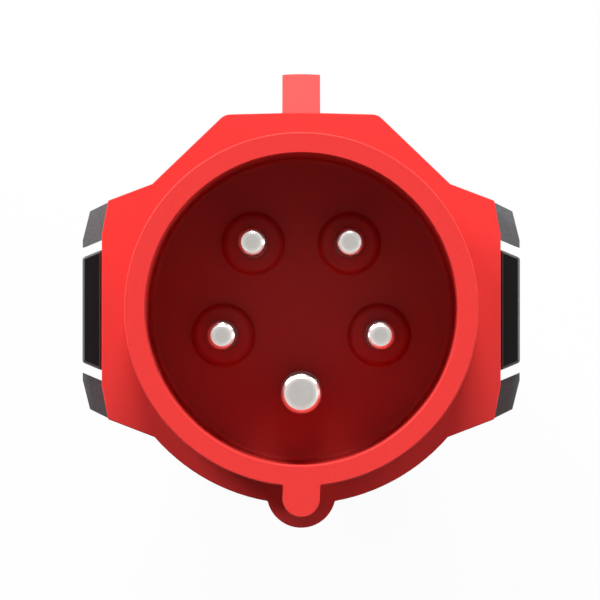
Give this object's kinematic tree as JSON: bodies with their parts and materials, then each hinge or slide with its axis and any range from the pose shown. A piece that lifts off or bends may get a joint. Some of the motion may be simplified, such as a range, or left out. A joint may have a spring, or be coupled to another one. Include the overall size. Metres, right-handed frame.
{
  "type": "industrial pin and sleeve plug",
  "caption": "Industrial power plug: round keyed sleeve round fixed contact pins, a flanged front housing, side latches that hold it to the rear housing, and a cable gland.",
  "frame": {"origin": "on the mating axis, in the gland nut's flat rear face, where the cable enters", "axes": "+Z along the mating axis towards the pins, +Y towards the nose that the socket's lid catches, +X to the right seen from the pins"},
  "size_m": [0.075, 0.0769, 0.1401],
  "materials": {
    "red_polyamide": "satin moulded",
    "grey_polyamide": "fine spark-eroded grain",
    "black_polyamide": "satin moulded",
    "nut_polyamide": "fine grain",
    "claw_polyamide": "satin moulded",
    "carrier_polyamide": "satin moulded",
    "nickel_plated_brass": "turned and nickel plated",
    "zinc_plated_steel": "zinc plated",
    "seal_rubber": "matt"
  },
  "bodies": {
    "plug": {"front_housing": "red_polyamide", "contact_carrier": "carrier_polyamide", "wire_guide": "black_polyamide", "carrier_screw": "zinc_plated_steel", "pin_l1": "nickel_plated_brass", "pin_l2": "nickel_plated_brass", "pin_l3": "nickel_plated_brass", "pin_n": "nickel_plated_brass", "pin_pe": "nickel_plated_brass", "terminal_screw_l1": "zinc_plated_steel", "terminal_screw_l2": "zinc_plated_steel", "terminal_screw_l3": "zinc_plated_steel", "terminal_screw_n": "zinc_plated_steel", "terminal_screw_pe": "zinc_plated_steel", "housing_seal": "seal_rubber", "rear_housing": "grey_polyamide", "latch_pin_left": "zinc_plated_steel", "latch_pin_right": "zinc_plated_steel", "cable_seal": "seal_rubber", "clamp_claws": "claw_polyamide"},
    "latch_left": {"latch_left": "black_polyamide"},
    "latch_right": {"latch_right": "black_polyamide"},
    "gland_nut": {"gland_nut": "nut_polyamide"}
  },
  "joints": [
    {"name": "latch_left_swing", "type": "hinge", "parent": "plug", "child": "latch_left", "pos_m": [-0.031, 0, 0.0601], "axis": [0, -1, 0], "range_deg": [0, 45]},
    {"name": "latch_right_swing", "type": "hinge", "parent": "plug", "child": "latch_right", "pos_m": [0.031, 0, 0.0601], "axis": [0, 1, 0], "range_deg": [0, 45]},
    {"name": "gland_nut_turn", "type": "hinge", "parent": "plug", "child": "gland_nut", "pos_m": [0, 0, 0.012], "axis": [0, 0, -1], "range_deg": [0, 540]}
  ]
}
